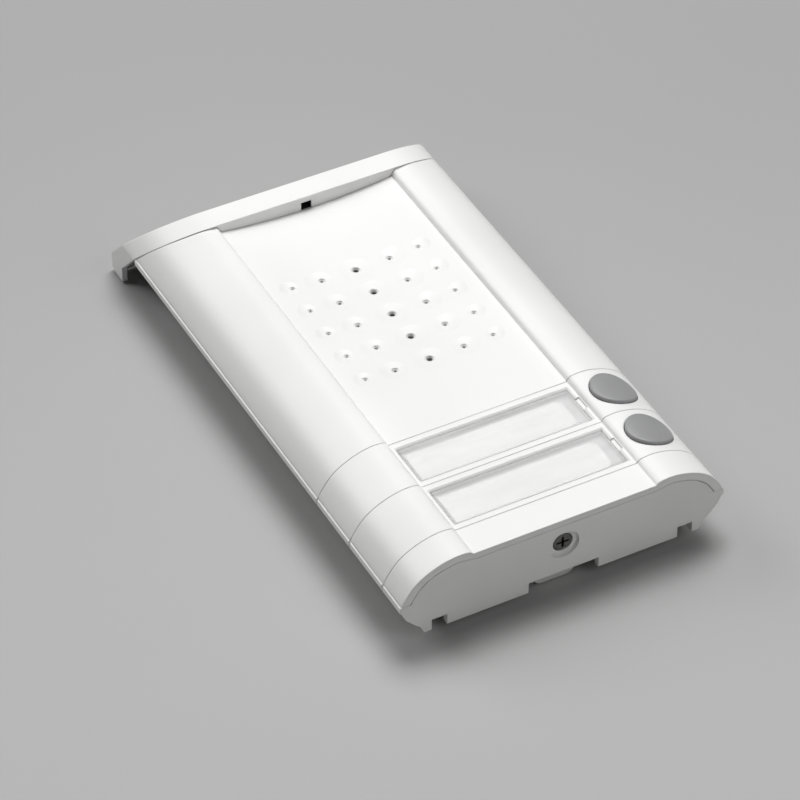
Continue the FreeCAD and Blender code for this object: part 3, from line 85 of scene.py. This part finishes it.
def grained(name, dark, bright, grain, roughness, depth, edge, detail=3.0, strength=0.4,
            clouds=None, contrast=(0.0, 1.0), **shading):
    """A finish of one material, whose grain and clouds have their sizes in millimetres.
    Its colour goes from dark to bright over the contrast of the clouds or, where there
    are none, of the grain."""
    finish, place = new_finish(name)
    fine = add(finish, "ShaderNodeTexNoise", {
        "Vector": place, "Scale": 1000 / grain, "Detail": detail, "Roughness": finer})
    broad = fine
    if clouds:
        broad = add(finish, "ShaderNodeTexNoise", {
            "Vector": place, "Scale": 1000 / clouds, "Detail": 1.0, "Roughness": finer})
    tone = add(finish, "ShaderNodeMapRange", {
        "Value": broad, "From Min": contrast[0], "From Max": contrast[1]})
    colour = add(finish, "ShaderNodeMix", {0: tone, 6: paint(dark), 7: paint(bright)},
                 data_type="RGBA").outputs[2]
    coat(finish, colour, fine, roughness, fine, depth, edge, strength, **shading)
    return finish


def dress(finish, *names):
    """Gives a finish to CAD pieces in place of their plain one."""
    for name in names:
        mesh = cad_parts[name].data
        mesh.materials.clear()
        mesh.materials.append(finish)


# ABS from a blasted tool: a dull 0.7 mm grain, and clouds where the melt flowed.
matte_abs = grained("matte moulded ABS", "#ECECEA", "#F2F2F0", grain=0.7, detail=4.0,
                    clouds=30.0, contrast=(0.3, 0.7), roughness=(0.48, 0.64), depth=0.03,
                    edge=0.3, IOR=1.53)
dress(matte_abs, "rear_housing", "mounting_plate")


# Cable grommet
# A soft rubber grommet pressed into the plate's cable entry, with a thin web that the
# installer cuts to the cable. It is moulded in EPDM.

# Rubber is near black and dull, with pale dust in 1.4 mm patches.
rubber = grained("black EPDM rubber", "#19191A", "#2E2D2C", grain=1.4, detail=5.0,
                 contrast=(0.45, 0.75), roughness=(0.62, 0.85), depth=0.03, edge=0.2, IOR=1.52)
dress(rubber, "cable_grommet")


# Terminal block
# Six wire clamps of brass in a moulded polyamide body, each with a zinc plated screw on
# top of it and a contact pad that the housing's pins press on.

def metal(name, dark, bright, stain, roughness, edge):
    """Plain metal with stains of that size in millimetres, under 0.35 mm scuffs."""
    finish, place = new_finish(name)
    stains = add(finish, "ShaderNodeTexNoise", {
        "Vector": place, "Scale": 1000 / stain, "Detail": 4.0, "Roughness": finer})
    scuffs = add(finish, "ShaderNodeTexNoise", {
        "Vector": place, "Scale": 1000 / 0.35, "Detail": 3.0, "Roughness": finer})
    colour = add(finish, "ShaderNodeMix", {0: stains, 6: paint(dark), 7: paint(bright)},
                 data_type="RGBA").outputs[2]
    coat(finish, colour, scuffs, roughness, scuffs, depth=0.006, edge=edge, Metallic=1.0)
    return finish


# Glass fibres leave a dull 0.5 mm grain on the polyamide.
polyamide = grained("green polyamide", "#3B7A4A", "#468557", grain=0.5,
                    roughness=(0.42, 0.58), depth=0.02, edge=0.15, IOR=1.53)
# Stamped brass is bright, with 1 mm stains of tarnish.
brass = metal("bright brass", "#B58E4A", "#D9B468", stain=1.0, roughness=(0.2, 0.4), edge=0.08)
# Zinc plating is a cool grey that turns a little yellow in 2.5 mm stains.
zinc = metal("zinc plated steel", "#B9BDC4", "#CFCBBE", stain=2.5, roughness=(0.22, 0.42),
             edge=0.1)
dress(polyamide, "terminal_block")
dress(brass, "terminal_clamps", "contact_pads")
dress(zinc, "terminal_screws")


# Circuit board
# Glass epoxy board with green solder resist over copper tracks, fixed by four cross
# recess screws. Six brass pins reach down through the deck to the terminals.

wave = 1000 * math.tau / 20     # a wave's scale times its spacing in millimetres


def tracked_board():
    """Solder resist over tracks 1.1 mm wide, which is as coarse as they need to show. They
    change direction every 7 mm. The cut edges of the board show the bare laminate."""
    finish, place = new_finish("FR4 with green resist")
    blocks = add(finish, "ShaderNodeTexVoronoi", {"Vector": place, "Scale": 1000 / 7.0},
                 distance="CHEBYCHEV").outputs["Color"]
    block = add(finish, "ShaderNodeSeparateXYZ", {"Vector": blocks}).outputs["X"]
    turn = add(finish, "ShaderNodeMath", {0: block, 1: 0.5}, operation="GREATER_THAN")
    across, upwards = (
        add(finish, "ShaderNodeTexWave", {"Vector": place, "Scale": wave / 2.37},
            bands_direction=axis).outputs["Fac"] for axis in ("X", "Y"))
    lines = add(finish, "ShaderNodeMix", {0: turn, 2: across, 3: upwards})
    copper = add(finish, "ShaderNodeMath", {0: lines, 1: 0.55}, operation="GREATER_THAN")
    resist = add(finish, "ShaderNodeMix", {0: copper, 6: paint("#12502F"), 7: paint("#1F6B42")},
                 data_type="RGBA").outputs[2]
    facing = add(finish, "ShaderNodeSeparateXYZ", {"Vector": place.node.outputs["Normal"]})
    level = add(finish, "ShaderNodeMath", {0: facing.outputs["Z"]}, operation="ABSOLUTE")
    flat = add(finish, "ShaderNodeMath", {0: level, 1: 0.5}, operation="GREATER_THAN")
    colour = add(finish, "ShaderNodeMix", {0: flat, 6: paint("#A59A5C"), 7: resist},
                 data_type="RGBA").outputs[2]
    weave = add(finish, "ShaderNodeTexNoise", {
        "Vector": place, "Scale": 1000 / 1.0, "Detail": 2.0, "Roughness": finer})
    coat(finish, colour, weave, (0.24, 0.36), copper, depth=0.035, edge=0.1, strength=0.8,
         IOR=1.55)
    return finish


dress(tracked_board(), "circuit_board")
dress(zinc, "board_screws")
dress(brass, "contact_pins")


# Backlight diodes
# Eight white diodes in two rows light the labels from below. Each is a moulded cup that
# is filled with yellow phosphor and soldered to the board.

def packaged_diode():
    """White moulding with a 0.3 mm grain, and a glossy yellow disc in the middle of each
    diode. The disc is 0.8 mm in radius."""
    finish, place = new_finish("white diode with phosphor")
    # In metres.
    column_pitch = 0.012
    row_pitch = 0.0191
    half_depth = 0.001
    disc_radius = 0.0008
    low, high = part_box("backlight_leds")
    first = [(low.x + high.x) / 2 + column_pitch / 2, low.y + half_depth, high.z]
    cell = [column_pitch / 2, row_pitch / 2, 1.0]
    moved = add(finish, "ShaderNodeVectorMath", {0: place, 1: first}, operation="SUBTRACT")
    moved = add(finish, "ShaderNodeVectorMath", {0: moved, 1: cell, 2: [-side for side in cell]},
                operation="WRAP")
    gap = add(finish, "ShaderNodeVectorMath", {0: moved}, operation="LENGTH").outputs["Value"]
    cup = add(finish, "ShaderNodeMath", {0: gap, 1: disc_radius}, operation="GREATER_THAN")
    colour = add(finish, "ShaderNodeMix", {0: cup, 6: paint("#E9C53A"), 7: paint("#F1F0EA")},
                 data_type="RGBA").outputs[2]
    grain = add(finish, "ShaderNodeTexNoise", {
        "Vector": place, "Scale": 1000 / 0.3, "Detail": 2.0, "Roughness": finer})
    coat(finish, colour, grain, (0.3, 0.45), cup, depth=0.1, edge=0.1, strength=0.6, IOR=1.5)
    return finish


dress(packaged_diode(), "backlight_leds")


# Amplifier and capacitors
# An amplifier moulded in black epoxy with two rows of tinned legs, and three aluminium
# capacitors. All are soldered to the board.

def epoxy_and_tinned_legs():
    """Black epoxy with a 0.25 mm grain. The bright legs stand out beyond it on both sides."""
    finish, place = new_finish("epoxy package with tinned legs")
    body_half = 0.00301    # metres
    low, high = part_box("amplifier_chip")
    across = add(finish, "ShaderNodeSeparateXYZ", {"Vector": place}).outputs["Y"]
    out = add(finish, "ShaderNodeMath", {0: across, 1: (low.y + high.y) / 2},
              operation="SUBTRACT")
    out = add(finish, "ShaderNodeMath", {0: out}, operation="ABSOLUTE")
    legs = add(finish, "ShaderNodeMath", {0: out, 1: body_half}, operation="GREATER_THAN")
    grain = add(finish, "ShaderNodeTexNoise", {
        "Vector": place, "Scale": 1000 / 0.25, "Detail": 3.0, "Roughness": finer})
    epoxy = add(finish, "ShaderNodeMix", {0: grain, 6: paint("#1C1C1E"), 7: paint("#26262A")},
                data_type="RGBA").outputs[2]
    colour = add(finish, "ShaderNodeMix", {0: legs, 6: epoxy, 7: paint("#C9CCCF")},
                 data_type="RGBA").outputs[2]
    coat(finish, colour, grain, (0.35, 0.55), grain, depth=0.015, edge=0.08, strength=0.5,
         Metallic=legs)
    return finish


def sleeved_can():
    """An aluminium can, brushed with 0.3 mm marks, in a shrunk dark sleeve that leaves the
    top bare."""
    finish, place = new_finish("aluminium can in a sleeve")
    facing = add(finish, "ShaderNodeSeparateXYZ", {"Vector": place.node.outputs["Normal"]})
    bare = add(finish, "ShaderNodeMath", {0: facing.outputs["Z"], 1: 0.5},
               operation="GREATER_THAN")
    brushed = add(finish, "ShaderNodeTexNoise", {
        "Vector": place, "Scale": 1000 / 0.3, "Detail": 3.0, "Roughness": finer})
    can = add(finish, "ShaderNodeMix", {0: brushed, 6: paint("#BFC2C6"), 7: paint("#D8DADD")},
              data_type="RGBA").outputs[2]
    sleeve = add(finish, "ShaderNodeMix", {0: brushed, 6: paint("#1E2A44"), 7: paint("#26335A")},
                 data_type="RGBA").outputs[2]
    colour = add(finish, "ShaderNodeMix", {0: bare, 6: sleeve, 7: can},
                 data_type="RGBA").outputs[2]
    coat(finish, colour, brushed, (0.25, 0.4), brushed, depth=0.01, edge=0.25, strength=0.3,
         Metallic=bare)
    return finish


dress(epoxy_and_tinned_legs(), "amplifier_chip")
dress(sleeved_can(), "capacitors")


# Lead sockets and volume trimmer
# Two nylon sockets take the leads of the loudspeaker and the microphone. The trimmer's
# nylon rotor turns in a polyester body, from below through a hole in the deck.

# Nylon without a dye is ivory and a little waxy, with a 0.4 mm grain.
nylon = grained("natural nylon", "#DDD6C4", "#E9E4D6", grain=0.4, roughness=(0.35, 0.5),
                depth=0.01, edge=0.15, IOR=1.5)
# Dyed polyester comes out of the tool glossier, with a 0.3 mm grain.
polyester = grained("blue polyester", "#2D5597", "#3A66AC", grain=0.3, roughness=(0.3, 0.45),
                    depth=0.01, edge=0.12, IOR=1.5)
dress(nylon, "lead_sockets", "volume_trimmer_rotor")
dress(polyester, "volume_trimmer_body")


# Push switches
# One stands under each call button: a black moulded base under a plate of bright nickel
# silver, with a plunger of acetal in it.

def switch_case():
    """Black plastic with a 0.3 mm grain. The top 0.5 mm is the bright metal plate."""
    finish, place = new_finish("switch base with metal plate")
    plate_thickness = 0.0005    # metres
    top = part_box("switch_body_1")[1].z
    height = add(finish, "ShaderNodeSeparateXYZ", {"Vector": place}).outputs["Z"]
    plate = add(finish, "ShaderNodeMath", {0: height, 1: top - plate_thickness},
                operation="GREATER_THAN")
    grain = add(finish, "ShaderNodeTexNoise", {
        "Vector": place, "Scale": 1000 / 0.3, "Detail": 3.0, "Roughness": finer})
    base = add(finish, "ShaderNodeMix", {0: grain, 6: paint("#1D1D1F"), 7: paint("#29292B")},
               data_type="RGBA").outputs[2]
    colour = add(finish, "ShaderNodeMix", {0: plate, 6: base, 7: paint("#C8C6C0")},
                 data_type="RGBA").outputs[2]
    coat(finish, colour, grain, (0.25, 0.45), grain, depth=0.01, edge=0.1, Metallic=plate)
    return finish


# Moulded acetal is black and smooth, with a 0.3 mm grain.
acetal = grained("black acetal", "#222223", "#2C2C2E", grain=0.3, roughness=(0.3, 0.45),
                 depth=0.01, edge=0.15, IOR=1.5)
dress(switch_case(), "switch_body_1", "switch_body_2")
dress(acetal, "switch_plunger_1", "switch_plunger_2")


# Loudspeaker
# A 50 mm speaker: a drawn steel basket and magnet pot, both zinc plated, a film cone
# with pressed rings, a rubber gasket, and two leads to its socket on the board.

def film_cone():
    """Dark polypropylene film with rings pressed into it every 3.2 mm."""
    finish, place = new_finish("polypropylene film")
    low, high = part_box("speaker_cone")
    axis = [-(low.x + high.x) / 2, -(low.y + high.y) / 2, 0]
    from_axis = add(finish, "ShaderNodeMapping", {
        "Vector": place, "Location": axis, "Scale": (1, 1, 0)})
    rings = add(finish, "ShaderNodeTexWave", {"Vector": from_axis, "Scale": wave / 3.16},
                wave_type="RINGS", rings_direction="SPHERICAL").outputs["Fac"]
    colour = add(finish, "ShaderNodeMix", {0: rings, 6: paint("#202022"), 7: paint("#313136")},
                 data_type="RGBA").outputs[2]
    grain = add(finish, "ShaderNodeTexNoise", {
        "Vector": place, "Scale": 1000 / 0.8, "Detail": 2.0, "Roughness": finer})
    coat(finish, colour, grain, (0.35, 0.5), rings, depth=0.2, edge=0.1, strength=0.7, IOR=1.49)
    return finish


diagonal = 2 / math.sqrt(3)     # a diagonal wave's scale against that of a straight one


def stranded_lead(name, left, right):
    """PVC over stranded wire, in one colour on the left of the station's middle and one on
    the right. The lay of the strands is drawn coarse, in bands 4.56 mm apart, to show."""
    finish, place = new_finish(name)
    lay = add(finish, "ShaderNodeTexWave", {
        "Vector": place, "Scale": diagonal * wave / 4.56, "Distortion": 1.5},
        bands_direction="DIAGONAL").outputs["Fac"]
    across = add(finish, "ShaderNodeSeparateXYZ", {"Vector": place}).outputs["X"]
    side = add(finish, "ShaderNodeMath", {0: across, 1: 0.0}, operation="GREATER_THAN")
    colour = add(finish, "ShaderNodeMix", {0: side, 6: paint(left), 7: paint(right)},
                 data_type="RGBA").outputs[2]
    coat(finish, colour, lay, (0.32, 0.45), lay, depth=0.03, edge=0.05, strength=0.5,
         spread=(0, 1), IOR=1.53)
    return finish


dress(zinc, "speaker_basket", "speaker_magnet")
dress(film_cone(), "speaker_cone")
dress(rubber, "speaker_gasket")
dress(stranded_lead("red and black PVC", "#1F1F20", "#A62A22"), "speaker_leads")


# Fixing screw and nut
# A captive screw of darkened steel with a low round head, turned and rolled, with a
# pressed cross recess that drivers have rubbed. Its square nut is zinc plated.

def turned_steel():
    """Dark steel with turning rings every 0.6 mm about the screw's axis, and 1.2 mm
    stains. The rings are coarser than real ones, so that they show."""
    finish, place = new_finish("darkened turned steel")
    low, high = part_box("fixing_screw")
    axis = [-(low.x + high.x) / 2, -low.y, -(low.z + high.z) / 2]
    from_axis = add(finish, "ShaderNodeMapping", {"Vector": place, "Location": axis})
    rings = add(finish, "ShaderNodeTexWave", {
        "Vector": from_axis, "Scale": wave / 0.592, "Distortion": 0.4, "Detail": 1.0},
        wave_type="RINGS", rings_direction="SPHERICAL").outputs["Fac"]
    stains = add(finish, "ShaderNodeTexNoise", {
        "Vector": place, "Scale": 1000 / 1.2, "Detail": 4.0, "Roughness": finer})
    colour = add(finish, "ShaderNodeMix", {0: stains, 6: paint("#3E3D3C"), 7: paint("#8B8A88")},
                 data_type="RGBA").outputs[2]
    coat(finish, colour, stains, (0.3, 0.46), rings, depth=0.01, edge=0.12, strength=0.3,
         Metallic=1.0)
    return finish


dress(turned_steel(), "fixing_screw")
dress(zinc, "fixing_nut")


# Front panel, bottom strip, module frames and hood
# Injection moulded in warm white ABS. The tool was spark eroded, and the moulded edges
# are softly rounded. Two zinc plated screws hold the hood.

# The eroded tool leaves a satin face. Its 0.45 mm grain is coarser than the real one, so
# that it shows, under clouds where the melt flowed.
satin_abs = grained("satin moulded ABS", "#EEEEED", "#F3F3F2", grain=0.45,
                    clouds=38.0, contrast=(0.3, 0.7), roughness=(0.36, 0.52), depth=0.02,
                    edge=0.5, strength=0.35, IOR=1.53)
dress(satin_abs, "front_panel", "bottom_strip", "call_module_frame_1", "call_module_frame_2",
      "hood")
dress(zinc, "hood_screws")


# Microphone
# An aluminium capsule with a felt face, in a rubber boot behind the hood's front wall,
# and its round lead down to the board.

def felted_can():
    """Bright aluminium can. Its face towards the hole is a disc of black felt, whose
    fibres are 0.25 mm apart."""
    finish, place = new_finish("aluminium capsule with felt")
    facing = add(finish, "ShaderNodeSeparateXYZ", {"Vector": place.node.outputs["Normal"]})
    bare = add(finish, "ShaderNodeMath", {0: facing.outputs["Y"], 1: -0.5},
               operation="GREATER_THAN")
    fibres = add(finish, "ShaderNodeTexNoise", {
        "Vector": place, "Scale": 1000 / 0.25, "Detail": 5.0, "Roughness": finer})
    can = add(finish, "ShaderNodeMix", {0: fibres, 6: paint("#B9BBBE"), 7: paint("#D2D4D6")},
              data_type="RGBA").outputs[2]
    colour = add(finish, "ShaderNodeMix", {0: bare, 6: paint("#111112"), 7: can},
                 data_type="RGBA").outputs[2]
    coat(finish, colour, fibres, (0.3, 0.6), fibres, depth=0.02, edge=0.15, strength=0.5,
         Metallic=bare)
    return finish


dress(felted_can(), "microphone_capsule")
dress(rubber, "microphone_boot")
dress(stranded_lead("grey PVC", "#6E7073", "#6E7073"), "microphone_lead")


# Call buttons
# Domed buttons moulded in mid grey ABS with a polished-out satin top, each on a stem
# that reaches down to its switch.

# A fine tool leaves a satin face with a 0.3 mm grain, under faint 9 mm clouds of colour.
grey_abs = grained("satin grey ABS", "#959596", "#A0A0A1", grain=0.3, detail=2.0, clouds=9.0,
                   roughness=(0.33, 0.47), depth=0.012, edge=0.45, strength=0.35, IOR=1.53)
dress(grey_abs, "call_button_1", "call_button_2")


# Label diffusers and name labels
# Opal acrylic bars spread the diodes' light behind blank inserts, which are cut from
# smooth white card.

# Acrylic filled with a white pigment lets a little light in, clouded in 6 mm patches.
opal_acrylic = grained("opal acrylic", "#E0E1E0", "#E8E9E8", grain=6.0, detail=2.0,
                       roughness=(0.25, 0.4), depth=0.01, edge=0.1, strength=0.2, IOR=1.49,
                       Transmission_Weight=0.15)
# Pressed card is dull, and its 0.6 mm fibres show as a faint cloudiness.
smooth_card = grained("smooth white card", "#F5F5F4", "#FAFAF9", grain=0.6, detail=5.0,
                      roughness=(0.62, 0.78), depth=0.01, edge=0.05, IOR=1.5)
dress(opal_acrylic, "label_diffuser_1", "label_diffuser_2")
dress(smooth_card, "name_label_1", "name_label_2")


# Name covers
# Clear polycarbonate covers that the weather has made a little milky, with hairline
# scratches from being wiped. Each is pried up at its right end to change the label.

def clear_polycarbonate():
    """A clear sheet whose outer faces mirror more at a low angle and let the rest through.
    The hairlines run nearly along it, 0.25 mm apart, under a haze in 6 mm streaks."""
    finish, place = new_finish("clear polycarbonate")
    index = 1.585
    wiping_angle = 0.35
    streak_angle = 0.2
    wiped = add(finish, "ShaderNodeMapping", {
        "Vector": place, "Rotation": (0, 0, wiping_angle), "Scale": (0.04, 1.0, 1.0)})
    hairlines = add(finish, "ShaderNodeTexNoise", {
        "Vector": wiped, "Scale": 1000 / 0.25, "Detail": 3.0, "Roughness": finer})
    scratched = add(finish, "ShaderNodeMapRange", {
        "Value": hairlines, "From Min": 0.5, "From Max": 0.8, "To Min": 0.04, "To Max": 0.16})
    gloss = add(finish, "ShaderNodeBsdfPrincipled", {
        "Base Color": paint("#FCFCFC"), "IOR": index, "Roughness": scratched})
    weathered = add(finish, "ShaderNodeMapping", {
        "Vector": place, "Rotation": (0, 0, streak_angle), "Scale": (0.25, 1.0, 1.0)})
    streaks = add(finish, "ShaderNodeTexNoise", {
        "Vector": weathered, "Scale": 1000 / 6.0, "Detail": 1.0, "Roughness": finer})
    haze = add(finish, "ShaderNodeMapRange", {
        "Value": streaks, "From Min": 0.2, "From Max": 0.8, "To Min": 0.3, "To Max": 0.46})
    inside = add(finish, "ShaderNodeNewGeometry").outputs["Backfacing"]
    outside = add(finish, "ShaderNodeMath", {0: 1.0, 1: inside}, operation="SUBTRACT")
    mirror = add(finish, "ShaderNodeFresnel", {"IOR": index})
    share = add(finish, "ShaderNodeMath", {0: mirror, 1: haze}, operation="ADD")
    share = add(finish, "ShaderNodeMath", {0: share, 1: outside}, operation="MULTIPLY")
    through = add(finish, "ShaderNodeBsdfTransparent", {"Color": paint("#FEFEFE")})
    sheet = add(finish, "ShaderNodeMixShader", {0: share, 1: through, 2: gloss})
    add(finish, "ShaderNodeOutputMaterial", {"Surface": sheet})
    return finish


dress(clear_polycarbonate(), "name_cover_1", "name_cover_2")


# Floor
# A sheet of matte card under the station, which runs on far behind it. It is painted paler at
# the near end and darker at the far end, as painted light and shade.

floor_gap = 0.0005    # metres under the station, so that their faces never fight
bpy.ops.mesh.primitive_plane_add(size=6, location=(0, 0, -floor_gap))
floor = bpy.context.object
floor.name = "floor"


def card_with_painted_light():
    """Matte card with painted light: paler towards the camera and darker away, fading over 400
    mm, with clouds 90 mm across that hardly show.
    """
    finish, place = new_finish("grey card with painted light")
    # The painted light runs along the camera's line of sight, paler near the camera and darker
    # away from it.
    away = (0.471, 0.882, 0)
    reach = 0.2    # metres to either side of the middle
    distance = add(finish, "ShaderNodeVectorMath", {0: place, 1: away},
                   operation="DOT_PRODUCT").outputs["Value"]
    painted_light_fade = add(finish, "ShaderNodeMapRange", {
        "Value": distance, "From Min": -reach, "From Max": reach},
        interpolation_type="SMOOTHSTEP")
    clouds = add(finish, "ShaderNodeTexNoise", {
        "Vector": place, "Scale": 1000 / 90.0, "Detail": 2.0, "Roughness": finer})
    # The near colour is paler as painted light, and the far colour darker as painted shade.
    near = add(finish, "ShaderNodeMix", {0: clouds, 6: paint("#B8B8B8"), 7: paint("#BABABA")},
               data_type="RGBA").outputs[2]
    far = add(finish, "ShaderNodeMix", {0: clouds, 6: paint("#A3A3A3"), 7: paint("#A5A5A5")},
              data_type="RGBA").outputs[2]
    colour = add(finish, "ShaderNodeMix", {0: painted_light_fade, 6: near, 7: far},
                 data_type="RGBA").outputs[2]
    shader = add(finish, "ShaderNodeBsdfPrincipled", {"Base Color": colour, "Roughness": 0.75})
    add(finish, "ShaderNodeOutputMaterial", {"Surface": shader})
    return finish


floor.data.materials.append(card_with_painted_light())
bpy.ops.object.select_all(action="DESELECT")


# Light
# Two soft boxes overhead, one beyond the station on its left and a weaker one on the near
# side, which lights the end face. A dim white surround keeps the shadows from going black.

def soft_box(name, side, place, watts):
    """A square light at a place, turned towards the middle of the station."""
    bpy.ops.object.light_add(type="AREA", location=place)
    lamp = bpy.context.object
    lamp.name = name
    lamp.data.shape = "SQUARE"
    lamp.data.size = side
    lamp.data.energy = watts
    lamp.rotation_euler = (-Vector(place)).to_track_quat("-Z", "Y").to_euler()


soft_box("overhead soft box", side=0.6, place=(0.3, 0.3, 1.1), watts=8.9)
soft_box("small overhead soft box", side=0.4, place=(0.0, 0.3, 1.2), watts=2.8)
soft_box("far left soft box", side=0.8, place=(-0.7, 0.9, 0.9), watts=6.8)
soft_box("near right soft box", side=0.8, place=(0.4, -1.0, 0.9), watts=3.6)
world = bpy.data.worlds.new("studio")
bpy.context.scene.world = world
world.use_nodes = True
surround = world.node_tree.nodes["Background"]
surround.inputs["Color"].default_value = paint("#FFFFFF")
surround.inputs["Strength"].default_value = 0.02
bpy.context.scene.view_settings.view_transform = "Standard"


# Camera
# A long lens a little over a metre away, from the front left and above, as the
# photograph was taken.

eye = Vector((-0.387164, -0.722534, 0.719527))
towards_eye = Vector((-0.3535, -0.6623, 0.6607))
bpy.ops.object.camera_add(location=eye)
camera = bpy.context.object
camera.rotation_euler = (-towards_eye).to_track_quat("-Z", "Y").to_euler()
camera.data.lens = 170.65
camera.data.sensor_width = 36
camera.data.shift_y = -0.00125
camera.data.clip_start = 0.05
camera.data.clip_end = 20
bpy.context.scene.camera = camera
